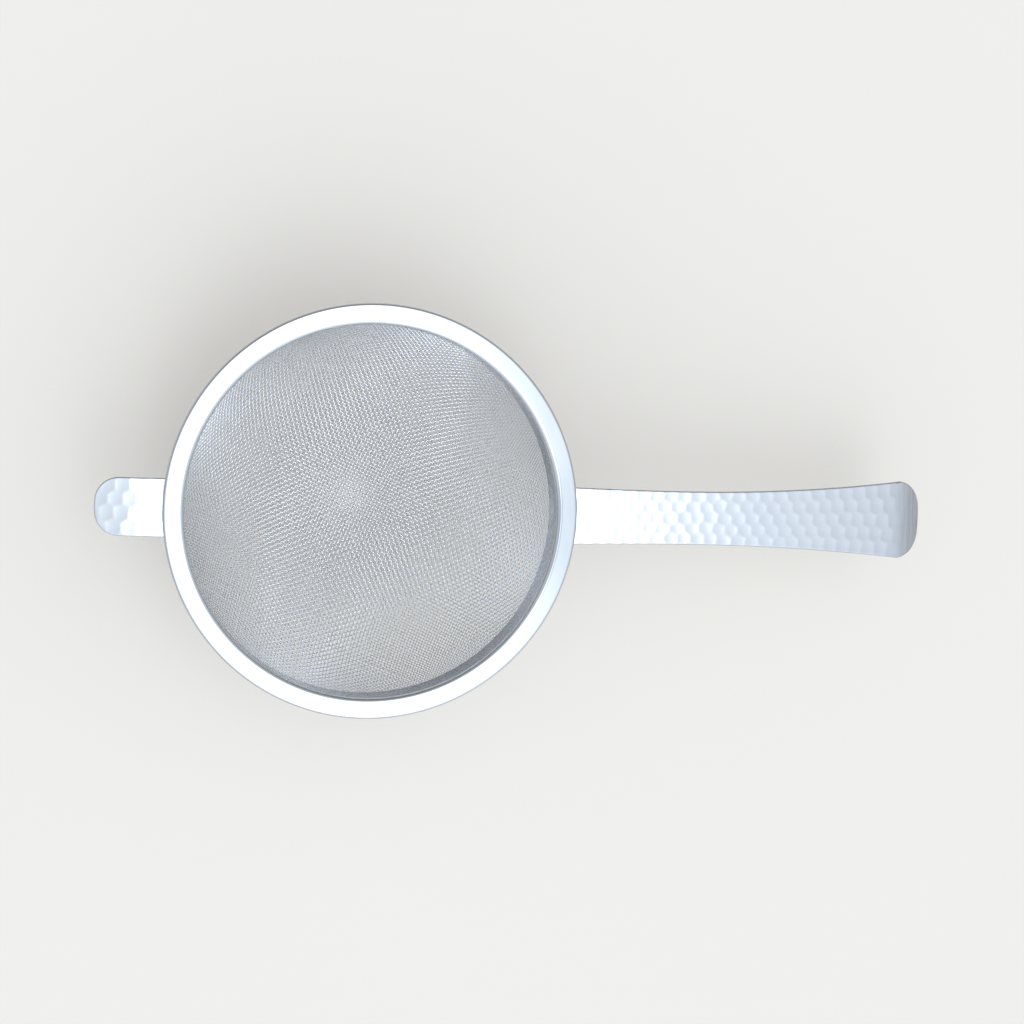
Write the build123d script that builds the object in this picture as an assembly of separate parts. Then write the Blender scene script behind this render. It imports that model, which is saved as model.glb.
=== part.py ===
from build123d import *
import os
from math import asin, degrees

# Tea strainer, in millimetres. A woven wire bowl is trapped between the collar of a pressed
# rim and a band around it. A hammered handle and a hammered rest tab are spot-welded to the
# band, and sit on the edge of the cup.
# +Z is up along the axis of the rim and +X runs along the handle. The origin is on that axis,
# level with the undersides of the handle and the tab where they leave the rim.

# Driving dimensions: the rim, pressed from one sheet
RIM_RADIUS = 36.9
RIM_TOP_Z = 2.6
FLANGE_DROP = 0.3
RIM_SHEET = 0.4
RIM_CORNER = 0.5
MOUTH_RADIUS = 33.1
MOUTH_CORNER = 0.9
COLLAR_BOTTOM_Z = -4.6

# Driving dimensions: the woven bowl and the band that traps its edge
WEAVE_THICKNESS = 0.4
BAND_SHEET = 0.4
BAND_SETBACK = 0.2
SKIRT_GAP = 0.2
BOWL_BOTTOM_Z = -32.5
SHOULDER_RADIUS = 6.0

# Driving dimensions: the strip that the handle and the tab are cut from
STRIP_THICKNESS = 1.0
STRIP_BEND = 1.3
TONGUE_BOTTOM_Z = -4.2
TONGUE_CORNER = 1.5

# Driving dimensions: the handle
HANDLE_TIP_X = 103.8
HANDLE_FLAT_END_X = 46.7
HANDLE_ARCH_RADIUS = 250.0
HANDLE_ARCH_END_X = 97.0
HANDLE_CURL_RADIUS = 20.0
HANDLE_ROOT_WIDTH = 10.5
HANDLE_NECK_X = 58.0
HANDLE_NECK_WIDTH = 9.65
HANDLE_END_WIDTH = 15.5
HANDLE_TIP_WIDTH = 14.3
HANDLE_TIP_ROUND = 27.0
HANDLE_CORNER = 5.4

# Driving dimensions: the rest tab
TAB_TIP_X = 48.7
TAB_FLAT_END_X = 38.6
TAB_BEND_RADIUS = 30.0
TAB_BEND_END_X = 44.0
TAB_ARCH_RADIUS = 150.0
TAB_WIDTH = 10.3
TAB_TIP_ROUND = 12.0
TAB_CORNER = 4.3

# Driving dimensions: the spot welds
WELD_RADIUS = 1.0
WELD_DIMPLE = 0.06
WELD_Z = -2.5
HANDLE_WELD_SPACING = 3.1
TAB_WELD_SPACING = 4.0

# Worked out from them
COLLAR_OUTER = MOUTH_RADIUS + RIM_SHEET
WEAVE_OUTER = COLLAR_OUTER + WEAVE_THICKNESS
BAND_OUTER = WEAVE_OUTER + BAND_SHEET
TONGUE_OUTER = BAND_OUTER + STRIP_THICKNESS
LIP_BOTTOM_Z = STRIP_THICKNESS
SKIRT_TOP_Z = RIM_TOP_Z - MOUTH_CORNER - SKIRT_GAP
BEND_EDGE = 1.3 * STRIP_THICKNESS
STOCK_WIDTH = 30.0
CUT_SIZE = 200.0


def bent_sheet(points, corners, thickness, side):
    """Section of a bent sheet in the XZ plane, with one face along the given points."""
    with BuildSketch(Plane.XZ) as section:
        with BuildLine():
            FilletPolyline(*points, radius=corners)
            offset(amount=thickness, side=side)
        make_face()
    return section.sketch


def ring(inner, outer, bottom_z, top_z):
    """Plain hoop about the Z axis."""
    height = top_z - bottom_z
    hoop = Cylinder(outer, height) - Cylinder(inner, height)
    return Pos(0, 0, (bottom_z + top_z) / 2) * hoop


def make_rim():
    """Pressed rim: a turned-down lip outside, a flange that slopes outward, and the collar inside."""
    outer_face = [
        (RIM_RADIUS, LIP_BOTTOM_Z),
        (RIM_RADIUS, RIM_TOP_Z - FLANGE_DROP),
        (MOUTH_RADIUS, RIM_TOP_Z),
        (MOUTH_RADIUS, COLLAR_BOTTOM_Z),
    ]
    section = bent_sheet(outer_face, (RIM_CORNER, MOUTH_CORNER), RIM_SHEET, Side.LEFT)
    return revolve(section, Axis.Z)


def make_bowl():
    """Woven bowl as a thin shell of the weave's thickness: skirt, shoulder and spherical cap."""
    shoulder_x = WEAVE_OUTER - SHOULDER_RADIUS
    shoulder_z = COLLAR_BOTTOM_Z - BAND_SETBACK
    drop = shoulder_z - BOWL_BOTTOM_Z
    # The cap's sphere is tangent to the shoulder's circle, which lies inside it.
    cap_radius = (shoulder_x**2 + drop**2 - SHOULDER_RADIUS**2) / (2 * (drop - SHOULDER_RADIUS))
    cap_z = BOWL_BOTTOM_Z + cap_radius
    lean_x = shoulder_x / (cap_radius - SHOULDER_RADIUS)
    lean_z = (shoulder_z - cap_z) / (cap_radius - SHOULDER_RADIUS)

    def face_points(inset):
        """Skirt's top and foot, the joint with the cap, and the bottom, for one face."""
        radius = cap_radius - inset
        return [
            (WEAVE_OUTER - inset, SKIRT_TOP_Z),
            (WEAVE_OUTER - inset, shoulder_z),
            (radius * lean_x, cap_z + radius * lean_z),
            (0, BOWL_BOTTOM_Z + inset),
        ]

    outer = face_points(0)
    inner = face_points(WEAVE_THICKNESS)
    with BuildSketch(Plane.XZ) as section:
        with BuildLine():
            Line(outer[0], outer[1])
            RadiusArc(outer[1], outer[2], SHOULDER_RADIUS)
            RadiusArc(outer[2], outer[3], cap_radius)
            Line(outer[3], inner[3])
            RadiusArc(inner[3], inner[2], WEAVE_THICKNESS - cap_radius)
            RadiusArc(inner[2], inner[1], WEAVE_THICKNESS - SHOULDER_RADIUS)
            Line(inner[1], inner[0])
            Line(inner[0], outer[0])
        make_face()
    return revolve(section.sketch, Axis.Z)


def make_band():
    """Hoop that traps the edge of the weave against the collar."""
    return ring(WEAVE_OUTER, BAND_OUTER, COLLAR_BOTTOM_Z + BAND_SETBACK, SKIRT_TOP_Z)


def bent_strip(flat_end_x, bends):
    """Wide bent strip, flat from the band and then curving down, and its tip's plane.

    Each bend is a radius and the X at which that bend ends. The tip's plane has its X along
    the strip and its Z square to it.
    """
    slope_sine = 0.0
    with BuildSketch(Plane.XZ) as section:
        with BuildLine():
            start = (BAND_OUTER + STRIP_BEND, STRIP_THICKNESS)
            run = Line(start, (flat_end_x, STRIP_THICKNESS))
            for radius, end_x in bends:
                start_slope = asin(slope_sine)
                slope_sine += (end_x - (run @ 1).X) / radius
                run = JernArc(run @ 1, run % 1, radius, degrees(start_slope - asin(slope_sine)))
            tip = Plane.XZ.from_local_coords(run @ 1)
            along = Plane.XZ.from_local_coords(run % 1)
            offset(amount=STRIP_THICKNESS, side=Side.RIGHT)
        make_face()
    strip = extrude(section.sketch, STOCK_WIDTH / 2, both=True)
    return strip, Plane(tip, x_dir=along, z_dir=along.cross(Vector(0, 1, 0)))


def tongue():
    """Bent root of a strip: it hugs the band, then turns out level under the rim's lip."""
    outer_face = [
        (BAND_OUTER, TONGUE_BOTTOM_Z),
        (BAND_OUTER, STRIP_THICKNESS),
        (BAND_OUTER + 2 * STRIP_BEND, STRIP_THICKNESS),
    ]
    return revolve(bent_sheet(outer_face, STRIP_BEND, STRIP_THICKNESS, Side.RIGHT), Axis.Z)


def tip_outline(width, tip_round, corner):
    """Flat outline of a strip's end: a long bar along -X with a convex tip at the origin."""
    disc = Pos(-tip_round, 0) * Circle(tip_round)
    bar = Pos(-tip_round - CUT_SIZE / 2, 0) * Rectangle(CUT_SIZE, 2 * tip_round)
    outline = (disc + bar) & Rectangle(3 * CUT_SIZE, width)
    tip_corners = outline.vertices().filter_by(lambda vertex: vertex.X > -tip_round)
    return fillet(tip_corners, corner)


def cutter(plane, outline):
    """Tall prism that keeps what lies inside an outline in a plane."""
    return extrude(plane * outline, CUT_SIZE / 2, both=True)


def flared_edge(start, end):
    """Arc between two points that is parallel to X at the narrower one."""
    length = end[0] - start[0]
    rise = abs(end[1] - start[1])
    bend = (length**2 + rise**2) / (2 * rise)
    return RadiusArc(start, end, -bend)


def finish_strip(strip, root_outline):
    """Add the tongue to a strip, trim both to the outline, and round the tongue's foot."""
    blank = (strip + tongue()) & cutter(Plane.XY, root_outline)
    foot = blank.edges().filter_by(
        lambda edge: edge.length < BEND_EDGE
        and edge.center().Z < WELD_Z
        and edge.center().X < RIM_RADIUS
    )
    return fillet(foot, TONGUE_CORNER)


def make_handle():
    """Hammered strip: level at the cup, arched down, and curled at its wide end."""
    bends = [(HANDLE_ARCH_RADIUS, HANDLE_ARCH_END_X), (HANDLE_CURL_RADIUS, HANDLE_TIP_X)]
    strip, tip_plane = bent_strip(HANDLE_FLAT_END_X, bends)
    root = (BAND_OUTER - STRIP_BEND, HANDLE_ROOT_WIDTH / 2)
    neck = (HANDLE_NECK_X, HANDLE_NECK_WIDTH / 2)
    end = (HANDLE_TIP_X + STRIP_THICKNESS, HANDLE_END_WIDTH / 2)
    upper = [flared_edge(root, neck), flared_edge(neck, end)]
    lower = [mirror(edge, Plane.XZ) for edge in upper]
    ends = [Line((root[0], -root[1]), root), Line((end[0], -end[1]), end)]
    tip = tip_outline(HANDLE_TIP_WIDTH, HANDLE_TIP_ROUND, HANDLE_CORNER)
    return finish_strip(strip & cutter(tip_plane, tip), make_face(upper + lower + ends))


def make_tab():
    """Short hammered strip opposite the handle, with a rounded tip that dips a little."""
    bends = [(TAB_BEND_RADIUS, TAB_BEND_END_X), (TAB_ARCH_RADIUS, TAB_TIP_X)]
    strip, tip_plane = bent_strip(TAB_FLAT_END_X, bends)
    tip = tip_outline(TAB_WIDTH, TAB_TIP_ROUND, TAB_CORNER)
    root_outline = Pos(CUT_SIZE / 2, 0) * Rectangle(CUT_SIZE, TAB_WIDTH)
    return Rot(0, 0, 180) * finish_strip(strip & cutter(tip_plane, tip), root_outline)


def weld_rods(spacing, count):
    """Radial rods through the band, one at each spot weld on the +X side."""
    reach = TONGUE_OUTER - MOUTH_RADIUS + 2 * STRIP_THICKNESS
    middle = (TONGUE_OUTER + MOUTH_RADIUS) / 2
    rods = []
    for index in range(count):
        offset_y = (index - (count - 1) / 2) * spacing
        rod = Rot(0, 90, 0) * Cylinder(WELD_RADIUS, reach)
        rods.append(Pos(middle, offset_y, WELD_Z) * rod)
    return Part() + rods


def make_welds(rods):
    """Weld nuggets: the rods cut back to just inside the faces that they join."""
    inner = MOUTH_RADIUS + WELD_DIMPLE
    outer = TONGUE_OUTER - WELD_DIMPLE
    return rods & ring(inner, outer, WELD_Z - 2 * WELD_RADIUS, WELD_Z + 2 * WELD_RADIUS)


def save(shape, name):
    """Name one sub-part and write its STEP file."""
    shape.label = name
    export_step(shape, f"parts/{name}.step")
    print(name, len(shape.solids()), "solid(s)", round(shape.volume, 1), "mm3")


os.makedirs("parts", exist_ok=True)

handle_rods = weld_rods(HANDLE_WELD_SPACING, 3)
tab_rods = Rot(0, 0, 180) * weld_rods(TAB_WELD_SPACING, 2)

save(make_rim() - handle_rods - tab_rods, "rim_ring")
save(make_bowl() - handle_rods - tab_rods, "mesh_bowl")
save(make_band() - handle_rods - tab_rods, "clamp_band")
save(make_handle() - handle_rods, "handle")
save(make_tab() - tab_rods, "rest_tab")
save(make_welds(handle_rods), "handle_spot_welds")
save(make_welds(tab_rods), "tab_spot_welds")
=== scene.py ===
"""Looks of the tea strainer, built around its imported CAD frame. Metres, +Z up, +X along the handle."""

import math

import bpy
import numpy as np
from mathutils import Matrix, Vector


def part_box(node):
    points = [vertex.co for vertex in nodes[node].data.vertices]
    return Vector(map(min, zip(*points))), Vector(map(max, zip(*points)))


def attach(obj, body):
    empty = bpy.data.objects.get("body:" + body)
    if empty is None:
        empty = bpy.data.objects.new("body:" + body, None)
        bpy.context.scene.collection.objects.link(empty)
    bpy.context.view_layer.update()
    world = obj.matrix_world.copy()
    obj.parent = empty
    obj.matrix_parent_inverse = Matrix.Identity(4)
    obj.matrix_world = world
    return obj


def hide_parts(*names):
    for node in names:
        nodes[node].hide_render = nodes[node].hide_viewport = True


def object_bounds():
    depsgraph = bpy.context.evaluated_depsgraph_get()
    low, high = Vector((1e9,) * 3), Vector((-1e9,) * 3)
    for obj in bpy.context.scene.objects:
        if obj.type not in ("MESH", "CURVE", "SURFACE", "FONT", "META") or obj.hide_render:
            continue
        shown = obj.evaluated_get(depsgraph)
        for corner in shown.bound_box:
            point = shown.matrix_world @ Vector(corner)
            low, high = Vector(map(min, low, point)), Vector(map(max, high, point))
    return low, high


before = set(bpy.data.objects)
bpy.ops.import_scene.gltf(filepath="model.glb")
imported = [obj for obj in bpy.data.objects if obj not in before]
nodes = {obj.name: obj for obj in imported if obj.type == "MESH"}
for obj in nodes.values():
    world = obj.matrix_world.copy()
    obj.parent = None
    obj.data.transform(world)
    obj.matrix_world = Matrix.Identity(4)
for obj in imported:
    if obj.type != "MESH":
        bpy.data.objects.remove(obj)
cad_low, cad_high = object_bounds()

MM = 0.001
NEARLY_ZERO = 1e-12

# ---------------------------------------------------------------- driving dimensions
# Woven bowl: its middle surface is a spherical cap, a shoulder and a short upright skirt.
# A wire has WIRE_STEPS rings of WIRE_SIDES points from one crossing to the next, and strays to
# one side by about WIRE_STRAY.
WIRE_DIAMETER = 0.2 * MM
WIRE_PITCH = 0.635 * MM
WEAVE_THICKNESS = 2 * WIRE_DIAMETER
SHOULDER_OUTER_RADIUS = 6.0 * MM
SHOULDER_GAP = 0.2 * MM
WEAVE_ANGLE = math.radians(-24)
WIRE_HIDDEN_LENGTH = 2.0 * MM
WIRE_SIDES = 6
WIRE_STEPS = 4
WIRE_GROUPS = 5
WIRE_STRAY = 0.06 * WIRE_PITCH
WEAVE_SEED = 100

# Pressed rim: one sheet, with a flange that slopes outward between two rolled corners. The tilts
# are those of its section where it leaves the mouth's corner and where it meets the outer one.
MOUTH_RADIUS = 33.1 * MM
RIM_SHEET = 0.4 * MM
RIM_CORNER = 0.5 * MM
MOUTH_CORNER = 0.9 * MM
LIP_BOTTOM_Z = 1.0 * MM
RIM_INNER_TILT = math.radians(-3.6)
RIM_OUTER_TILT = math.radians(4.1)
RIM_SEGMENTS = 400
RIM_SECTION_COUNTS = (14, 12, 20, 12, 5)
SHEET_EDGE_STEPS = 8

# Hammered strips: the tongue hugs the band, the strip runs out level and then bends down. The
# tongue's end is nearly straight, with a radius of TONGUE_END_ROUND half widths.
STRIP_THICKNESS = 1.0 * MM
STRIP_BEND = 1.3 * MM
STRIP_EDGE_ROUND = 0.22 * MM
STRIP_EDGE_STEPS = 4
TONGUE_CORNER = 1.5 * MM
TONGUE_END_ROUND = 50
TONGUE_FOOT_Z = -4.2 * MM
TONGUE_GRID_END = 3 * MM
TONGUE_TO_FLAT = 4 * MM
FLAT_TOP_Z = STRIP_THICKNESS
BAND_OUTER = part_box("clamp_band")[1].x
HANDLE_FLAT_END_X = 46.7 * MM
HANDLE_ARCH_RADIUS = 250 * MM
HANDLE_ARCH_END_X = 97.0 * MM
HANDLE_CURL_RADIUS = 20 * MM
HANDLE_TIP_X = 103.8 * MM
HANDLE_NECK_X = 58 * MM
HANDLE_NECK_HALF = 4.825 * MM
HANDLE_ROOT_FLARE = 735 * MM
HANDLE_END_FLARE = 376 * MM
HANDLE_TIP_HALF = 7.15 * MM
HANDLE_TIP_ROUND = 27 * MM
HANDLE_CORNER = 5.4 * MM
TAB_FLAT_END_X = 38.6 * MM
TAB_BEND_RADIUS = 30 * MM
TAB_BEND_END_X = 44 * MM
TAB_ARCH_RADIUS = 150 * MM
TAB_TIP_X = 48.7 * MM
TAB_HALF = 5.15 * MM
TAB_TIP_ROUND = 12 * MM
TAB_CORNER = 4.3 * MM

# Hammer blows: round dishes in staggered rows. Lengths run along the strip from the tongue's foot.
BLOW_RADIUS = 19 * MM
BLOW_PITCH = 2.6 * MM
BLOW_SOFTNESS = 0.010 * MM
BLOW_REACH = 1.6 * MM
BLOW_STRAY_ALONG = 0.06 * BLOW_PITCH
BLOW_STRAY_ACROSS = 0.05 * BLOW_PITCH
BLOW_TILT = 0.005
BLOW_EXTRA_DEPTH = 0.004 * MM
BLOW_FIRST = 4.0 * MM
BLOW_FADE_START = 5.0 * MM
BLOW_FADE_END = 6.5 * MM
HANDLE_BLOW_ROWS = 5
HANDLE_BLOW_SEED = 11
TAB_BLOW_ROWS = 4
TAB_BLOW_SEED = 5
# Near the handle's tip the blows fade by this share, between these lengths before the end.
TIP_FADE = 0.9
TIP_FADE_START = 7.5 * MM
TIP_FADE_END = 4.0 * MM

# Camera, fitted to the object: where it stands, what it looks at, and its lens
CAMERA_TARGET = Vector((25.43, 0.415, 0)) * MM
CAMERA_PIVOT = Vector((0, 0, 2.6)) * MM
CAMERA_DISTANCE = 500 * MM
CAMERA_LEFT = math.radians(7.792)
CAMERA_BACK = math.radians(5.245)
CAMERA_ROLL = math.radians(2.138)
CAMERA_LENS = 99.5
CAMERA_SENSOR = 36.0

# Light: the sky's brightness overhead and at the horizon, its lean to one side, and a glow
# whose place and widths are degrees off the zenith along X and Y. The camera sees BACKDROP.
SKY_TOP = 1.22
SKY_HORIZON = 0.56
SKY_LEAN = 0.62
SKY_SIDE_X = 0.1
SKY_SIDE_Y = -1.0
SKY_COOL = (0.92, 1.0, 1.10)
SKY_WARM = (0.99, 0.97, 0.94)
BACKDROP = (0.85, 0.85, 0.83)
GLOW = 3.0
GLOW_X = 3.0
GLOW_Y = -9.0
GLOW_WIDTH_X = 9.0
GLOW_WIDTH_Y = 26.0

# Painted shade and other marks on the steel: the colour mixed in, and for a patch its centre and half
# sizes
# Painted shade on the flange by the handle, for a dimmer reflection there
FLANGE_PAINTED_SHADE = (0.565, 0.59, 0.61)
FLANGE_PAINTED_SHADE_CENTER = (35 * MM, -2 * MM, 2 * MM)
FLANGE_PAINTED_SHADE_SIZE = (8 * MM, 17 * MM, 6 * MM)
# Painted shade over the bright rolled mouth by the handle, toning down its highlight
MOUTH_PAINTED_SHADE = (0.28, 0.295, 0.315)
MOUTH_PAINTED_SHADE_CENTER = (34 * MM, -4 * MM, 2 * MM)
MOUTH_PAINTED_SHADE_SIZE = (12 * MM, 22 * MM, 6 * MM)
# Painted shade on the collar below the flange
COLLAR_PAINTED_SHADE = (0.45, 0.47, 0.51)
# Painted shade on the outer edge of the lip
LIP_PAINTED_SHADE = (0.50, 0.49, 0.53)
WELD_BLOOM = (0.84, 0.85, 0.87)
WELD_BLOOM_Z = -2.5 * MM
HANDLE_BLOOM_SIZE = (3 * MM, 8 * MM, 4 * MM)
TAB_BLOOM_SIZE = (3 * MM, 6 * MM, 4 * MM)
# Painted shade in the weave's valleys, below the knuckles
WIRE_VALLEY_PAINTED_SHADE = (0.68, 0.69, 0.71)
# Painted shade in streaks on the handle's curled end
TIP_PAINTED_SHADE = (0.49, 0.50, 0.52)
# Painted shade on the strips' steep edges
EDGE_PAINTED_SHADE = (0.34, 0.34, 0.36)

# Table
TABLE_DARK = (0.862, 0.796, 0.712)
TABLE_LIGHT = (0.882, 0.816, 0.732)
TABLE_SIZE = 6
TABLE_GAP = 0.02 * MM


# ---------------------------------------------------------------- mesh helpers
def mesh_object(name, points, quads):
    """Smooth-shaded mesh object from numpy arrays of points and quads."""
    mesh = bpy.data.meshes.new(name)
    mesh.vertices.add(len(points))
    mesh.vertices.foreach_set("co", points.ravel().astype(np.float32))
    mesh.loops.add(quads.size)
    mesh.loops.foreach_set("vertex_index", quads.ravel().astype(np.int32))
    mesh.polygons.add(len(quads))
    mesh.polygons.foreach_set("loop_start", np.arange(len(quads), dtype=np.int32) * 4)
    mesh.polygons.foreach_set("use_smooth", np.ones(len(quads), dtype=bool))
    mesh.update(calc_edges=True)
    piece = bpy.data.objects.new(name, mesh)
    bpy.context.scene.collection.objects.link(piece)
    return piece


# ---------------------------------------------------------------- woven bowl
def bowl_meridian():
    """Middle surface of the weave: a function from arc length off the bottom to r, z, slope.

    Also gives the radius of its cap and the length at which the wires end.
    """
    low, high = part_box("mesh_bowl")
    outer_radius = high.x
    bottom = low.z
    shoulder_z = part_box("rim_ring")[0].z - SHOULDER_GAP
    shoulder_x = outer_radius - SHOULDER_OUTER_RADIUS
    drop = shoulder_z - bottom
    cap = (shoulder_x**2 + drop**2 - SHOULDER_OUTER_RADIUS**2) / (2 * (drop - SHOULDER_OUTER_RADIUS))
    center_z = bottom + cap
    cap_angle = math.asin(shoulder_x / (cap - SHOULDER_OUTER_RADIUS))
    radius = cap - WEAVE_THICKNESS / 2
    shoulder = SHOULDER_OUTER_RADIUS - WEAVE_THICKNESS / 2
    cap_length = radius * cap_angle
    skirt_start = cap_length + shoulder * (math.pi / 2 - cap_angle)

    def at(length):
        on_cap = length < cap_length
        slope = np.where(on_cap, length / radius, cap_angle + (length - cap_length) / shoulder)
        slope = np.minimum(slope, math.pi / 2)
        r = np.where(on_cap, radius * np.sin(slope), shoulder_x + shoulder * np.sin(slope))
        z = np.where(on_cap, center_z - radius * np.cos(slope), shoulder_z - shoulder * np.cos(slope))
        z = z + np.maximum(length - skirt_start, 0)
        return r, z, slope

    return at, radius, skirt_start + WIRE_HIDDEN_LENGTH


def fishnet(radius, count):
    """Crossings of a cloth pressed on a sphere: every wire keeps its pitch and the cells shear.

    Returns flat coordinates of crossing i, j for one quadrant, as distance and direction from
    the bottom of the sphere.
    """
    net = np.zeros((count, count, 3))
    step = WIRE_PITCH / radius
    angles = np.arange(count) * step
    net[:, 0] = np.stack([np.sin(angles), 0 * angles, np.cos(angles)], -1)
    net[0, :] = np.stack([0 * angles, np.sin(angles), np.cos(angles)], -1)
    for i in range(1, count):
        for j in range(1, count):
            fold = np.cross(net[i - 1, j], net[i, j - 1])
            fold /= np.linalg.norm(fold)
            back = net[i - 1, j - 1]
            net[i, j] = back - 2 * np.dot(back, fold) * fold
    length = radius * np.arccos(np.clip(net[..., 2], -1, 1))
    across = np.maximum(np.hypot(net[..., 0], net[..., 1]), NEARLY_ZERO)
    return net[..., 0] / across * length, net[..., 1] / across * length


def wire_line(index, net_u, net_v, limit):
    """Flat path of one warp wire through its crossings, as u, v and distance in pitches."""
    length = np.hypot(net_u[abs(index)], net_v[abs(index)])
    reach = int(np.argmax(length > limit)) - 1
    if reach < 1:
        return None
    crossing = np.arange(-reach, reach + 1)
    side = -1 if index < 0 else 1
    u = side * net_u[abs(index), np.abs(crossing)]
    v = np.sign(crossing) * net_v[abs(index), np.abs(crossing)]
    along = np.linspace(-reach, reach, 2 * reach * WIRE_STEPS + 1)
    return np.interp(along, crossing, u), np.interp(along, crossing, v), along


def wire_tube(points, normals, base):
    """Closed tube along points, as vertices and quads whose numbers start at base."""
    tangent = np.gradient(points, axis=0)
    tangent /= np.linalg.norm(tangent, axis=1)[:, None]
    side = np.cross(tangent, normals)
    side /= np.linalg.norm(side, axis=1)[:, None]
    up = np.cross(side, tangent)
    turn = np.arange(WIRE_SIDES) * 2 * math.pi / WIRE_SIDES
    outward = np.cos(turn)[None, :, None] * side[:, None] + np.sin(turn)[None, :, None] * up[:, None]
    tube = (points[:, None] + WIRE_DIAMETER / 2 * outward).reshape(-1, 3)
    row = np.arange(len(points) - 1)[:, None] * WIRE_SIDES
    now = np.arange(WIRE_SIDES)[None, :]
    following = (now + 1) % WIRE_SIDES
    walls = [row + now, row + following, row + WIRE_SIDES + following, row + WIRE_SIDES + now]
    walls = np.stack(walls, -1).reshape(-1, 4)
    last = (len(points) - 1) * WIRE_SIDES
    # Two quads close each six-sided end.
    caps = np.array([[3, 2, 1, 0], [5, 4, 3, 0], [last, last + 1, last + 2, last + 3],
                     [last, last + 3, last + 4, last + 5]])
    return tube, np.concatenate([walls, caps]) + base


def weave_wires(kind, indices, net_u, net_v, meridian, limit):
    """Points and quads of some warp or weft wires, each over and under the others.

    Each wire strays a little to one side, as in real cloth.
    """
    all_points, all_quads, base = [], [], 0
    random = np.random.default_rng(int(indices[0]) + WEAVE_SEED)
    cos_a, sin_a = math.cos(WEAVE_ANGLE), math.sin(WEAVE_ANGLE)
    for index in indices:
        line = wire_line(index, net_u, net_v, limit)
        if line is None:
            continue
        u, v, along = line
        u = u + random.normal(0, WIRE_STRAY)
        phase = 1 if index % 2 == 0 else -1
        if kind == "weft":
            u, v, phase = v, u, -phase
        length = np.maximum(np.hypot(u, v), NEARLY_ZERO)
        x = (u * cos_a - v * sin_a) / length
        y = (u * sin_a + v * cos_a) / length
        r, z, slope = meridian(length)
        normals = np.stack([-x * np.sin(slope), -y * np.sin(slope), np.cos(slope)], -1)
        crimp = WIRE_DIAMETER / 2 * np.cos(math.pi * along) * phase
        points = np.stack([x * r, y * r, z], -1) + normals * crimp[:, None]
        tube, quads = wire_tube(points, normals, base)
        all_points.append(tube)
        all_quads.append(quads)
        base += len(tube)
    return np.concatenate(all_points), np.concatenate(all_quads)


def make_weave():
    """The pressed cloth as groups of warp and weft wires, each with a like length of wire."""
    meridian, radius, limit = bowl_meridian()
    count = int(limit / WIRE_PITCH) + 3
    net_u, net_v = fishnet(radius, count)
    reach = count - 3
    made = []
    for kind in ("warp", "weft"):
        indices = np.arange(-reach, reach + 1)
        weights = np.sqrt(np.maximum(1 - (indices / (reach + 1)) ** 2, 0))
        share = np.cumsum(weights) / weights.sum()
        for group in range(WIRE_GROUPS):
            past_last_group = share > group / WIRE_GROUPS + NEARLY_ZERO
            up_to_this_one = share <= (group + 1) / WIRE_GROUPS + NEARLY_ZERO
            chosen = indices[past_last_group & up_to_this_one]
            points, quads = weave_wires(kind, chosen, net_u, net_v, meridian, limit)
            made.append(mesh_object(f"mesh_{kind}_{group + 1}", points, quads))
    return made


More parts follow.
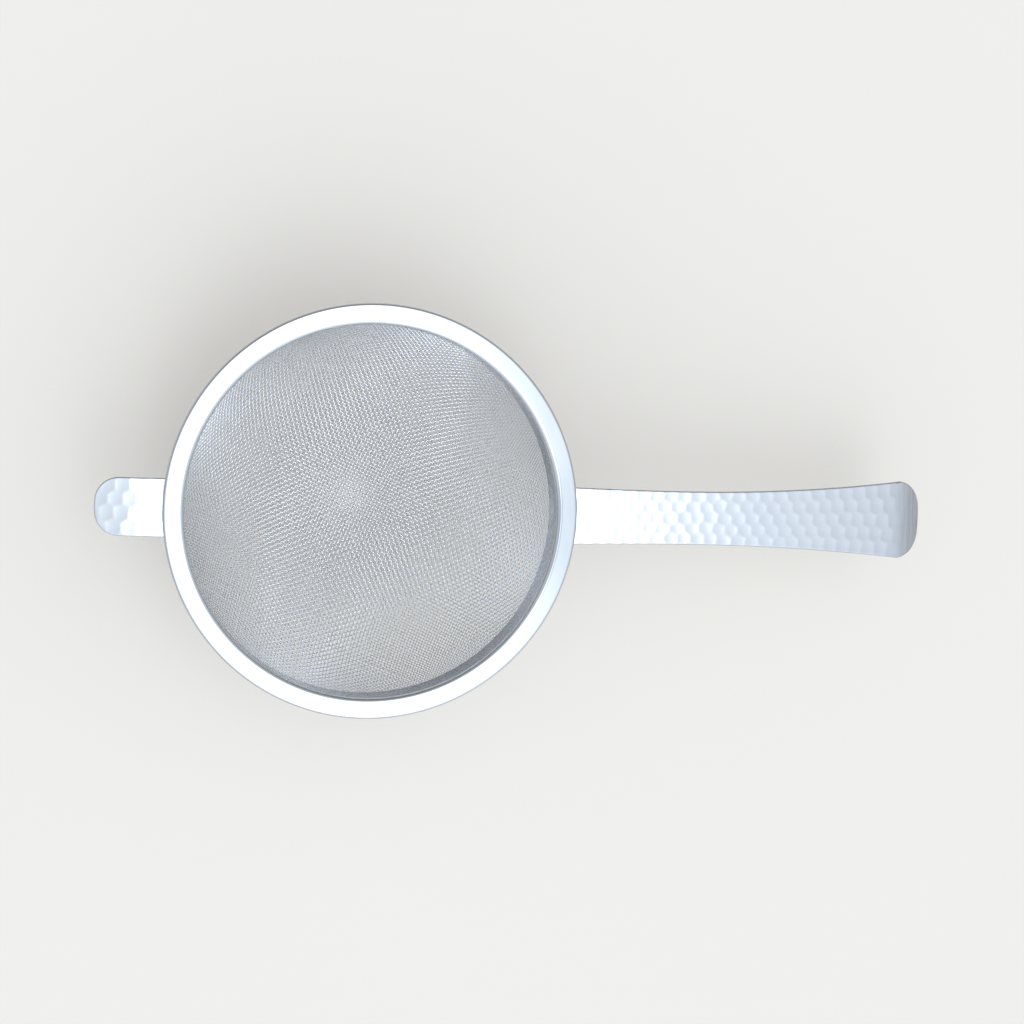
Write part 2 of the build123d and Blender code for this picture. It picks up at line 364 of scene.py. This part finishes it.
# ---------------------------------------------------------------- pressed rim
def make_rim():
    """Pressed rim turned from its section: collar, rolled mouth, sloping flange and lip."""
    low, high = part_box("rim_ring")
    inner_tilt, outer_tilt = RIM_INNER_TILT, RIM_OUTER_TILT
    inner_sine, inner_cosine = math.sin(inner_tilt), math.cos(inner_tilt)
    outer_sine, outer_cosine = math.sin(outer_tilt), math.cos(outer_tilt)
    rolled = MOUTH_CORNER * (1 - inner_sine) + RIM_CORNER * (1 - outer_sine)
    crown = (high.x - MOUTH_RADIUS - rolled) / (inner_sine + outer_sine)
    collar_top = high.z - MOUTH_CORNER
    flange_drop = crown * (inner_cosine - outer_cosine)
    lip_top = collar_top + MOUTH_CORNER * inner_cosine - flange_drop - RIM_CORNER * outer_cosine
    segments = [
        (collar_top - low.z, 0.0),
        (MOUTH_CORNER * (math.pi / 2 - inner_tilt), 1 / MOUTH_CORNER),
        (crown * (inner_tilt + outer_tilt), 1 / crown),
        (RIM_CORNER * (math.pi / 2 - outer_tilt), 1 / RIM_CORNER),
        (lip_top - LIP_BOTTOM_Z, 0.0),
    ]
    path, length = walk(segments, MOUTH_RADIUS, low.z, math.pi / 2)
    edge = RIM_SHEET / 2
    samples, start = [], 0.0
    for (run, _), count in zip(segments, RIM_SECTION_COUNTS):
        samples.append(start + run * np.arange(count) / count)
        start += run
    along = np.clip(np.concatenate([*samples, [length]]), edge, length - edge)
    x, z, heading = path(along)
    normal_x, normal_z = -np.sin(heading), np.cos(heading)
    under_x, under_z = x - RIM_SHEET * normal_x, z - RIM_SHEET * normal_z
    turn = np.linspace(0, math.pi, SHEET_EDGE_STEPS + 1)[1:-1]
    ends = []
    for index, sign in ((-1, 1), (0, -1)):
        mid_x, mid_z = (x[index] + under_x[index]) / 2, (z[index] + under_z[index]) / 2
        out_x, out_z = sign * math.cos(heading[index]), sign * math.sin(heading[index])
        ends.append((
            mid_x + edge * (sign * np.cos(turn) * normal_x[index] + np.sin(turn) * out_x),
            mid_z + edge * (sign * np.cos(turn) * normal_z[index] + np.sin(turn) * out_z),
        ))
    section_r = np.concatenate([x, ends[0][0], under_x[::-1], ends[1][0]])
    section_z = np.concatenate([z, ends[0][1], under_z[::-1], ends[1][1]])
    angle = np.arange(RIM_SEGMENTS) * 2 * math.pi / RIM_SEGMENTS
    r, turn_angle = section_r[None, :], angle[:, None]
    points = np.stack([r * np.cos(turn_angle), r * np.sin(turn_angle),
                       np.broadcast_to(section_z, (len(angle), len(section_z)))], -1).reshape(-1, 3)
    number = np.arange(RIM_SEGMENTS * len(section_r)).reshape(RIM_SEGMENTS, -1)
    turned = np.roll(number, -1, axis=0)
    quads = np.stack([number, np.roll(number, -1, axis=1), np.roll(turned, -1, axis=1), turned], -1)
    return mesh_object("rim_pressed", points, quads.reshape(-1, 4))


# ---------------------------------------------------------------- hammered strips
def walk(segments, x, z, heading):
    """Path of straight and round segments: a function from length to x, z, heading; its length.

    Each segment is a length and a curvature, where a positive one turns right.
    """
    starts = []
    length = 0.0
    for run, curvature in segments:
        starts.append((length, x, z, heading, curvature))
        ahead = heading - run * curvature
        if curvature:
            x += (math.sin(heading) - math.sin(ahead)) / curvature
            z += (math.cos(ahead) - math.cos(heading)) / curvature
        else:
            x += run * math.cos(heading)
            z += run * math.sin(heading)
        heading = ahead
        length += run

    def at(s):
        out_x, out_z, out_heading = np.zeros_like(s), np.zeros_like(s), np.zeros_like(s)
        for begin, x0, z0, heading0, curvature in starts:
            here = s >= begin - NEARLY_ZERO
            run_here = s[here] - begin
            turned = heading0 - run_here * curvature
            if curvature:
                out_x[here] = x0 + (math.sin(heading0) - np.sin(turned)) / curvature
                out_z[here] = z0 + (np.cos(turned) - math.cos(heading0)) / curvature
            else:
                out_x[here] = x0 + run_here * math.cos(heading0)
                out_z[here] = z0 + run_here * math.sin(heading0)
            out_heading[here] = turned
        return out_x, out_z, out_heading

    return at, length


def strip_path(bends, flat_end_x):
    """Upper face of a strip from the tongue's foot, as a path."""
    segments = [
        (FLAT_TOP_Z - STRIP_BEND - TONGUE_FOOT_Z, 0.0),
        (STRIP_BEND * math.pi / 2, 1 / STRIP_BEND),
        (flat_end_x - BAND_OUTER - STRIP_BEND, 0.0),
    ]
    sine = 0.0
    start_x = flat_end_x
    for radius, end_x in bends:
        turned = math.asin(sine)
        sine += (end_x - start_x) / radius
        segments.append(((math.asin(sine) - turned) * radius, 1 / radius))
        start_x = end_x
    return walk(segments, BAND_OUTER, TONGUE_FOOT_Z, math.pi / 2)


def end_curve(half, tip_round, corner, columns, inset):
    """Rounded end of a strip: distance back from the end and y, evenly spaced from -y to +y."""
    corner_y = half - corner
    corner_back = tip_round - math.sqrt((tip_round - corner) ** 2 - corner_y**2)
    blend = math.atan2(corner_y, tip_round - corner_back)
    corner_radius = corner - inset
    tip_radius = tip_round - inset
    side_length = corner_radius * (math.pi / 2 - blend)
    tip_length = tip_radius * blend
    along = np.linspace(-1, 1, columns) * (side_length + tip_length)
    way = np.abs(along)
    on_tip = way < tip_length
    tip_angle = way / tip_radius
    corner_angle = blend + (way - tip_length) / corner_radius
    back = np.where(on_tip, tip_round - tip_radius * np.cos(tip_angle),
                    corner_back - corner_radius * np.cos(corner_angle))
    y = np.where(on_tip, tip_radius * np.sin(tip_angle), corner_y + corner_radius * np.sin(corner_angle))
    return back, np.sign(along) * y


def strip_grid(spec, inset):
    """Developed grid of a strip, inset from its outline: arrays of s and y, rows by columns."""
    columns = spec["columns"]
    across = np.linspace(-1, 1, columns)
    total = spec["length"]
    tip_start = total - spec["tip_zone"]
    rows = np.linspace(TONGUE_GRID_END, tip_start, spec["rows"])
    half = spec["half"](rows) - inset
    s = np.repeat(rows[:, None], columns, 1)
    y = half[:, None] * across[None, :]

    back, end_y = end_curve(spec["tip_half"], spec["tip_round"], spec["corner"], columns, inset)
    end_s = total - spec["curl"] * np.arcsin(back / spec["curl"])
    fan = np.linspace(0, 1, spec["tip_rows"] + 1)[1:, None]
    tip_s = s[-1] + fan * (end_s - s[-1])
    tip_y = y[-1] + fan * (end_y - y[-1])
    limit = spec["half"](tip_s.ravel()).reshape(tip_s.shape) - inset
    tip_y = np.clip(tip_y, -limit, limit)

    foot_half = float(spec["half"](np.array([0.0]))[0])
    foot_back, foot_y = end_curve(foot_half, TONGUE_END_ROUND * foot_half, TONGUE_CORNER, columns, inset)
    fan = np.linspace(0, 1, spec["foot_rows"] + 1)[:-1, None]
    foot_s = foot_back + fan * (s[0] - foot_back)
    foot_y = foot_y + fan * (y[0] - foot_y)
    return np.concatenate([foot_s, s, tip_s]), np.concatenate([foot_y, y, tip_y])


def border(grid):
    """Values round the edge of a grid, in order, without repeats."""
    return np.concatenate([grid[0, :-1], grid[:-1, -1], grid[-1, :0:-1], grid[:0:-1, 0]])


def place(path, s, y, height, mirror_x):
    """Points of a strip in the part's frame. The tongue curves round the band."""
    x, z, heading = path(s)
    out = np.clip((x - BAND_OUTER - STRIP_BEND) / TONGUE_TO_FLAT, 0, 1)
    reach = x - np.sin(heading) * height
    round_x = np.sqrt(reach**2 - y**2)
    x = round_x * (1 - out) + reach * out
    z = z + np.cos(heading) * height
    if mirror_x:
        x, y = -x, -y
    return np.stack([x, y, z], -1)


def make_strip(name, spec, relief, mirror_x):
    """Closed mesh of a hammered strip with rounded edges."""
    path = spec["path"]
    edge = STRIP_EDGE_ROUND
    grid_s, grid_y = strip_grid(spec, edge)
    rows, columns = grid_s.shape
    parts = []
    top_height = relief(grid_s, grid_y)
    parts.append(place(path, grid_s.ravel(), grid_y.ravel(), top_height.ravel(), mirror_x))
    steps = np.linspace(0, math.pi / 2, STRIP_EDGE_STEPS + 1)[1:]
    loops = []
    for turn in steps:
        loop_s, loop_y = strip_grid(spec, edge * (1 - math.sin(turn)))
        loops.append((border(loop_s), border(loop_y), edge * (1 - math.cos(turn))))
    for loop_s, loop_y, drop in loops:
        height = relief(loop_s, loop_y) - drop
        parts.append(place(path, loop_s, loop_y, height, mirror_x))
    for loop_s, loop_y, drop in reversed(loops):
        height = np.full_like(loop_s, drop - STRIP_THICKNESS)
        parts.append(place(path, loop_s, loop_y, height, mirror_x))
    height = np.full(grid_s.size, -STRIP_THICKNESS)
    parts.append(place(path, grid_s.ravel(), grid_y.ravel(), height, mirror_x))

    number = np.arange(rows * columns).reshape(rows, columns)
    top = np.stack([number[:-1, :-1], number[1:, :-1], number[1:, 1:], number[:-1, 1:]], -1)
    top = top.reshape(-1, 4)
    size = len(loops[0][0])
    rings = [border(number)]
    base = rows * columns
    for _ in range(2 * len(loops)):
        rings.append(base + np.arange(size))
        base += size
    bottom_number = number + base
    rings.append(border(bottom_number))
    quads = [top]
    for upper, lower in zip(rings[:-1], rings[1:]):
        quads.append(np.stack([upper, np.roll(upper, -1), np.roll(lower, -1), lower], -1))
    quads.append(top[:, ::-1] + base)
    return mesh_object(name, np.concatenate(parts), np.concatenate(quads))


def blow_centers(rows, end, half, seed):
    """Hammer blows in staggered rows that follow the strip's width: centres, tilts and depths."""
    random = np.random.default_rng(seed)
    centers = []
    count = int((end - BLOW_FIRST) / BLOW_PITCH) + 2
    for row in range(-1, rows + 1):
        across = 2 * (row + 0.5) / rows - 1
        for step in range(count):
            s = BLOW_FIRST + (step + 0.5 * (row % 2)) * BLOW_PITCH
            y = across * float(half(np.array([s]))[0])
            s += random.normal(0, BLOW_STRAY_ALONG)
            centers.append((s, y + random.normal(0, BLOW_STRAY_ACROSS)))
    centers = np.array(centers)
    tilts = random.normal(0, BLOW_TILT, (len(centers), 2))
    depths = random.uniform(0, BLOW_EXTRA_DEPTH, len(centers))
    return centers, tilts, depths


def hammered(centers, tilts, depths, fade):
    """Relief of a hammered face: each point lies on the deepest dish over it, softly blended."""
    def relief(s, y):
        flat_s, flat_y = s.ravel(), y.ravel()
        weights = np.full(flat_s.shape, NEARLY_ZERO)
        for (cs, cy), (ts, ty), depth in zip(centers, tilts, depths):
            ds, dy = flat_s - cs, flat_y - cy
            dish = (ds**2 + dy**2) / (2 * BLOW_RADIUS) - depth + ts * ds + ty * dy
            weights += np.exp(-dish / BLOW_SOFTNESS)
        lowest = -BLOW_SOFTNESS * np.log(weights)
        crown = BLOW_REACH**2 / (2 * BLOW_RADIUS)
        height = np.minimum(lowest - crown, 0) * fade(flat_s)
        return height.reshape(s.shape)
    return relief


def ramp(value, start, end):
    """Smooth step from 0 at start to 1 at end."""
    t = np.clip((value - start) / (end - start), 0, 1)
    return t * t * (3 - 2 * t)


def make_handle():
    """Hammered handle, which runs level, arches down and curls at its wide end."""
    bends = [(HANDLE_ARCH_RADIUS, HANDLE_ARCH_END_X), (HANDLE_CURL_RADIUS, HANDLE_TIP_X)]
    path, length = strip_path(bends, HANDLE_FLAT_END_X)

    def half(s):
        x = path(s)[0]
        flare = np.where(x < HANDLE_NECK_X, HANDLE_ROOT_FLARE, HANDLE_END_FLARE)
        bulge = flare - np.sqrt(flare**2 - (x - HANDLE_NECK_X) ** 2)
        return np.minimum(HANDLE_NECK_HALF + bulge, HANDLE_TIP_HALF)

    spec = {
        "path": path, "length": length, "half": half, "curl": HANDLE_CURL_RADIUS,
        "tip_half": HANDLE_TIP_HALF, "tip_round": HANDLE_TIP_ROUND, "corner": HANDLE_CORNER,
        "columns": 74, "rows": 370, "tip_rows": 48, "tip_zone": 8 * MM, "foot_rows": 12,
    }
    blows = blow_centers(HANDLE_BLOW_ROWS, length, half, HANDLE_BLOW_SEED)

    def fade(s):
        tip = ramp(s, length - TIP_FADE_START, length - TIP_FADE_END)
        return ramp(s, BLOW_FADE_START, BLOW_FADE_END) * (1 - TIP_FADE * tip)

    return make_strip("handle_hammered", spec, hammered(*blows, fade), False)


def make_tab():
    """Hammered rest tab, on the other side from the handle."""
    bends = [(TAB_BEND_RADIUS, TAB_BEND_END_X), (TAB_ARCH_RADIUS, TAB_TIP_X)]
    path, length = strip_path(bends, TAB_FLAT_END_X)

    def half(s):
        return np.full_like(s, TAB_HALF)

    spec = {
        "path": path, "length": length, "half": half, "curl": TAB_ARCH_RADIUS,
        "tip_half": TAB_HALF, "tip_round": TAB_TIP_ROUND, "corner": TAB_CORNER,
        "columns": 62, "rows": 72, "tip_rows": 32, "tip_zone": 5.5 * MM, "foot_rows": 12,
    }
    blows = blow_centers(TAB_BLOW_ROWS, length, half, TAB_BLOW_SEED)

    def fade(s):
        return ramp(s, BLOW_FADE_START, BLOW_FADE_END)

    return make_strip("rest_tab_hammered", spec, hammered(*blows, fade), True)


# ---------------------------------------------------------------- materials
def new_material(name):
    """Node material with its Principled shader."""
    material = bpy.data.materials.new(name)
    material.use_nodes = True
    return material, material.node_tree, material.node_tree.nodes["Principled BSDF"]


def node(tree, kind, values=(), **settings):
    """One node, with its settings and its named input values."""
    made = tree.nodes.new(kind)
    for key, value in settings.items():
        setattr(made, key, value)
    for key, value in dict(values).items():
        made.inputs[key].default_value = value
    return made


def color_mix(tree, factor, dark, light):
    """Colour that goes from dark to light with a factor socket."""
    mix = node(tree, "ShaderNodeMix", data_type="RGBA")
    mix.inputs[6].default_value = (*dark, 1)
    mix.inputs[7].default_value = (*light, 1)
    tree.links.new(factor, mix.inputs[0])
    return mix.outputs[2]


def calc(tree, operation, *values):
    """Math node on sockets and numbers; its output."""
    made = tree.nodes.new("ShaderNodeMath")
    made.operation = operation
    for index, value in enumerate(values):
        if isinstance(value, (int, float)):
            made.inputs[index].default_value = value
        else:
            tree.links.new(value, made.inputs[index])
    return made.outputs[0]


def smooth(tree, value, start, end):
    """Smooth step of a socket: 0 at start and 1 at end."""
    made = node(tree, "ShaderNodeMapRange", {1: start, 2: end}, interpolation_type="SMOOTHSTEP")
    tree.links.new(value, made.inputs[0])
    return made.outputs[0]


def polar(tree, coordinate):
    """Distance from the Z axis, arc round it and height, as a vector, and the distance."""
    split = node(tree, "ShaderNodeSeparateXYZ")
    tree.links.new(coordinate, split.inputs[0])
    x, y, z = split.outputs
    squares = [calc(tree, "MULTIPLY", value, value) for value in (x, y)]
    radius = calc(tree, "SQRT", calc(tree, "ADD", *squares))
    angle = calc(tree, "MULTIPLY", calc(tree, "ARCTAN2", y, x), MOUTH_RADIUS)
    join = node(tree, "ShaderNodeCombineXYZ")
    for value, socket in zip((radius, angle, z), join.inputs):
        tree.links.new(value, socket)
    return join.outputs[0], radius


def near(tree, coordinate, center, size):
    """1 at a point, falling smoothly to 0 at the surface of an ellipsoid round it."""
    away = node(tree, "ShaderNodeVectorMath", {1: center}, operation="SUBTRACT")
    tree.links.new(coordinate, away.inputs[0])
    scaled = node(tree, "ShaderNodeVectorMath", {1: size}, operation="DIVIDE")
    tree.links.new(away.outputs[0], scaled.inputs[0])
    length = node(tree, "ShaderNodeVectorMath", operation="LENGTH")
    tree.links.new(scaled.outputs[0], length.inputs[0])
    return smooth(tree, length.outputs["Value"], 1.0, 0.2)


def noise(tree, coordinate, stretch, scale, detail=4.0):
    """Noise over stretched coordinates, in 1/m."""
    mapping = node(tree, "ShaderNodeMapping", {"Scale": stretch})
    tree.links.new(coordinate, mapping.inputs[0])
    made = node(tree, "ShaderNodeTexNoise", {"Scale": scale, "Detail": detail, "Roughness": 0.6})
    tree.links.new(mapping.outputs[0], made.inputs["Vector"])
    return made.outputs["Fac"]


def steel(name, dark, light, roughness, stretch, scale, bump, marks=None, round_z=False):
    """Brushed or satin steel: fine grain in roughness and bump, and soft clouds in colour.

    marks(tree, source) gives pairs of a factor socket and the colour that it mixes in.
    """
    material, tree, shader = new_material(name)
    shader.inputs["Metallic"].default_value = 1.0
    source = node(tree, "ShaderNodeTexCoord")
    coordinate = source.outputs["Object"]
    if round_z:
        coordinate = polar(tree, coordinate)[0]
    grain = noise(tree, coordinate, stretch, scale)
    cloud = noise(tree, source.outputs["Object"], (1, 1, 1), 90.0, 3.0)
    color = color_mix(tree, cloud, dark, light)
    for factor, tint in marks(tree, source) if marks else ():
        mix = node(tree, "ShaderNodeMix", data_type="RGBA")
        tree.links.new(factor, mix.inputs[0])
        tree.links.new(color, mix.inputs[6])
        mix.inputs[7].default_value = (*tint, 1)
        color = mix.outputs[2]
    tree.links.new(color, shader.inputs["Base Color"])
    rough = node(tree, "ShaderNodeMapRange", {1: 0.3, 2: 0.7, 3: roughness[0], 4: roughness[1]})
    tree.links.new(grain, rough.inputs[0])
    tree.links.new(rough.outputs[0], shader.inputs["Roughness"])
    relief = node(tree, "ShaderNodeBump", {"Strength": bump, "Distance": 0.02 * MM})
    tree.links.new(grain, relief.inputs["Height"])
    tree.links.new(relief.outputs[0], shader.inputs["Normal"])
    return material


def rim_painted_shade_and_bloom(tree, source):
    """Painted shade on the flange and mouth by the handle and on the collar and lip, and the spot welds'
    bloom.
    """
    coordinate = source.outputs["Object"]
    split = node(tree, "ShaderNodeSeparateXYZ")
    tree.links.new(coordinate, split.inputs[0])
    radius = polar(tree, coordinate)[1]
    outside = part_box("rim_ring")[1].x
    # Painted shade on the collar and on the lip's outer edge
    collar = smooth(tree, split.outputs[2], 2.1 * MM, 1.2 * MM)
    lip = smooth(tree, radius, outside - 0.30 * MM, outside - 0.06 * MM)
    blotch = smooth(tree, noise(tree, coordinate, (1, 1, 1), 500.0), 0.3, 0.7)
    # Painted shade on the flange by the handle
    painted_flange_shade = near(tree, coordinate, FLANGE_PAINTED_SHADE_CENTER, FLANGE_PAINTED_SHADE_SIZE)
    # Painted shade over the rolled mouth by the handle
    before_flange = smooth(tree, radius, MOUTH_RADIUS + 1.2 * MM, MOUTH_RADIUS + 0.9 * MM)
    past_collar = smooth(tree, radius, MOUTH_RADIUS + 0.4 * MM, MOUTH_RADIUS + 0.75 * MM)
    rolled = calc(tree, "MULTIPLY", before_flange, past_collar)
    by_handle = near(tree, coordinate, MOUTH_PAINTED_SHADE_CENTER, MOUTH_PAINTED_SHADE_SIZE)
    mouth = calc(tree, "MULTIPLY", rolled, by_handle)
    marks = [(painted_flange_shade, FLANGE_PAINTED_SHADE), (mouth, MOUTH_PAINTED_SHADE), (collar, COLLAR_PAINTED_SHADE), (lip, LIP_PAINTED_SHADE)]
    for x, size in ((MOUTH_RADIUS, HANDLE_BLOOM_SIZE), (-MOUTH_RADIUS, TAB_BLOOM_SIZE)):
        bloom = near(tree, coordinate, (x, 0, WELD_BLOOM_Z), size)
        marks.append((calc(tree, "MULTIPLY", bloom, blotch), WELD_BLOOM))
    return marks


def wire_valley_painted_shade(tree, source):
    """Painted shade on the wire in the valleys of the weave, below the bright knuckles, except at its
    middle.
    """
    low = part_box("mesh_bowl")[0].z
    radius = bowl_meridian()[1]
    center = (0, 0, low + WEAVE_THICKNESS / 2 + radius)
    away = node(tree, "ShaderNodeVectorMath", {1: center}, operation="SUBTRACT")
    tree.links.new(source.outputs["Object"], away.inputs[0])
    length = node(tree, "ShaderNodeVectorMath", operation="LENGTH")
    tree.links.new(away.outputs[0], length.inputs[0])
    height = calc(tree, "SUBTRACT", radius, length.outputs["Value"])
    # Painted shade in the valleys, fading out at the middle
    painted_valley_shade = smooth(tree, height, 0.16 * MM, 0.02 * MM)
    outward = smooth(tree, polar(tree, source.outputs["Object"])[1], 2.0 * MM, 17.0 * MM)
    return [(calc(tree, "MULTIPLY", painted_valley_shade, outward), WIRE_VALLEY_PAINTED_SHADE)]


def hammer_painted_shade(tree, source):
    """Painted shade on the steep edges, and painted shade in streaks across the curled end of the
    handle.
    """
    split = node(tree, "ShaderNodeSeparateXYZ")
    tree.links.new(source.outputs["Normal"], split.inputs[0])
    # Painted shade on the steep edges
    edge = smooth(tree, calc(tree, "ABSOLUTE", split.outputs[2]), 0.90, 0.45)
    spot = node(tree, "ShaderNodeSeparateXYZ")
    tree.links.new(source.outputs["Object"], spot.inputs[0])
    # Painted shade in streaks on the curled end
    curl = smooth(tree, spot.outputs[0], HANDLE_ARCH_END_X - 1.0 * MM, HANDLE_TIP_X)
    streaks = smooth(tree, noise(tree, source.outputs["Object"], (1, 0.06, 1), 2600.0), 0.35, 0.68)
    painted_tip_shade = calc(tree, "MULTIPLY", curl, calc(tree, "MULTIPLY_ADD", streaks, 0.75, 0.2))
    return [(painted_tip_shade, TIP_PAINTED_SHADE), (edge, EDGE_PAINTED_SHADE)]


def floor_material():
    """Matt pale table with faint clouds."""
    material, tree, shader = new_material("table")
    source = node(tree, "ShaderNodeTexCoord")
    cloud = node(tree, "ShaderNodeTexNoise", {"Scale": 6.0, "Detail": 4.0})
    tree.links.new(source.outputs["Object"], cloud.inputs["Vector"])
    shade = color_mix(tree, cloud.outputs["Fac"], TABLE_DARK, TABLE_LIGHT)
    tree.links.new(shade, shader.inputs["Base Color"])
    shader.inputs["Roughness"].default_value = 0.75
    shader.inputs["Specular IOR Level"].default_value = 0.1
    return material


# ---------------------------------------------------------------- light, floor, camera
def make_world():
    """Broad soft light with a glow overhead and more light from -Y; a plain pale backdrop."""
    world = bpy.data.worlds.new("studio")
    bpy.context.scene.world = world
    world.use_nodes = True
    tree = world.node_tree
    background = tree.nodes["Background"]
    direction = node(tree, "ShaderNodeTexCoord")
    split = node(tree, "ShaderNodeSeparateXYZ")
    tree.links.new(direction.outputs["Generated"], split.inputs[0])
    dx, dy, dz = split.outputs
    high = calc(tree, "MAXIMUM", dz, 0.0)
    height = calc(tree, "MULTIPLY", high, high)
    overhead = calc(tree, "MULTIPLY_ADD", height, SKY_TOP - SKY_HORIZON, SKY_HORIZON)
    toward_x = calc(tree, "MULTIPLY", dx, SKY_SIDE_X)
    toward_y = calc(tree, "MULTIPLY", dy, SKY_SIDE_Y)
    sideways = calc(tree, "ADD", toward_x, toward_y)
    sky = calc(tree, "MULTIPLY", overhead, calc(tree, "MULTIPLY_ADD", sideways, SKY_LEAN, 1.0))
    below = calc(tree, "ADD", calc(tree, "MAXIMUM", dz, -0.9), 1.0)
    spread = []
    for part, center, width in ((dx, GLOW_X, GLOW_WIDTH_X), (dy, GLOW_Y, GLOW_WIDTH_Y)):
        flat = calc(tree, "DIVIDE", part, below)
        away = calc(tree, "SUBTRACT", flat, math.tan(math.radians(center) / 2))
        scaled = calc(tree, "DIVIDE", away, math.tan(math.radians(width) / 2))
        spread.append(calc(tree, "MULTIPLY", scaled, scaled))
    glow = calc(tree, "EXPONENT", calc(tree, "MULTIPLY", calc(tree, "ADD", *spread), -1.0))
    total = calc(tree, "MULTIPLY_ADD", glow, GLOW, sky)
    cool = smooth(tree, calc(tree, "MULTIPLY_ADD", sideways, 0.4, dz), 0.0, 0.6)
    tree.links.new(color_mix(tree, cool, SKY_WARM, SKY_COOL), background.inputs[0])
    tree.links.new(total, background.inputs[1])
    backdrop = node(tree, "ShaderNodeBackground", {0: (*BACKDROP, 1)})
    seen = node(tree, "ShaderNodeMixShader")
    rays = node(tree, "ShaderNodeLightPath")
    tree.links.new(rays.outputs["Is Camera Ray"], seen.inputs[0])
    tree.links.new(background.outputs[0], seen.inputs[1])
    tree.links.new(backdrop.outputs[0], seen.inputs[2])
    tree.links.new(seen.outputs[0], tree.nodes["World Output"].inputs[0])


def make_floor():
    """Flat pale table under the bowl."""
    bpy.ops.mesh.primitive_plane_add(size=TABLE_SIZE, location=(0, 0, cad_low.z - TABLE_GAP))
    floor = bpy.context.object
    floor.name = "table"
    floor.data.materials.append(floor_material())


def make_camera():
    """Camera almost straight above, standing a little to the left of the bowl."""
    data = bpy.data.cameras.new("camera")
    camera = bpy.data.objects.new("camera", data)
    bpy.context.scene.collection.objects.link(camera)
    bpy.context.scene.camera = camera
    data.lens = CAMERA_LENS
    data.sensor_width = CAMERA_SENSOR
    toward_x, toward_y = -math.sin(CAMERA_LEFT), math.sin(CAMERA_BACK)
    offset = Vector((toward_x, toward_y, math.sqrt(1 - toward_x**2 - toward_y**2)))
    camera.location = CAMERA_PIVOT + offset * CAMERA_DISTANCE
    forward = (CAMERA_TARGET - camera.location).normalized()
    right = forward.cross(Vector((0, 1, 0))).normalized()
    up = right.cross(forward)
    rolled_right = right * math.cos(CAMERA_ROLL) + up * math.sin(CAMERA_ROLL)
    rolled_up = up * math.cos(CAMERA_ROLL) - right * math.sin(CAMERA_ROLL)
    camera.matrix_world = Matrix.Translation(camera.location) @ Matrix(
        (rolled_right, rolled_up, -forward)
    ).transposed().to_4x4()


# ---------------------------------------------------------------- build
rim_steel = steel("satin_rim_steel", (0.62, 0.64, 0.66), (0.67, 0.69, 0.71), (0.12, 0.20),
                  (1, 0.03, 1), 9000, 0.08, rim_painted_shade_and_bloom, round_z=True)
wire_steel = steel("woven_steel_wire", (0.90, 0.91, 0.94), (0.98, 0.99, 1.0), (0.08, 0.18),
                   (1, 1, 1), 2500, 0.1, wire_valley_painted_shade)
band_steel = steel("satin_band_steel", (0.60, 0.61, 0.63), (0.66, 0.67, 0.69), (0.22, 0.34),
                   (1, 0.03, 1), 9000, 0.2, round_z=True)
hammer_steel = steel("hammered_steel", (0.60, 0.615, 0.64), (0.65, 0.665, 0.69), (0.16, 0.28),
                     (1, 0.15, 1), 5000, 0.15, hammer_painted_shade)
weld_steel = steel("weld_steel", (0.56, 0.54, 0.52), (0.66, 0.65, 0.64), (0.35, 0.5),
                   (1, 1, 1), 3000, 0.5)

for wires in make_weave():
    wires.data.materials.append(wire_steel)
    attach(wires, "root")
    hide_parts("mesh_bowl")

for strip, cad_node in ((make_handle(), "handle"), (make_tab(), "rest_tab")):
    strip.data.materials.append(hammer_steel)
    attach(strip, "root")
    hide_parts(cad_node)

rim = make_rim()
rim.data.materials.append(rim_steel)
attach(rim, "root")
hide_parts("rim_ring")

for cad_node, material in (
    ("clamp_band", band_steel),
    ("handle_spot_welds", weld_steel),
    ("tab_spot_welds", weld_steel),
):
    for material_slot in nodes[cad_node].material_slots:
        material_slot.material = material

make_world()
make_floor()
make_camera()
bpy.context.scene.view_settings.view_transform = "Standard"
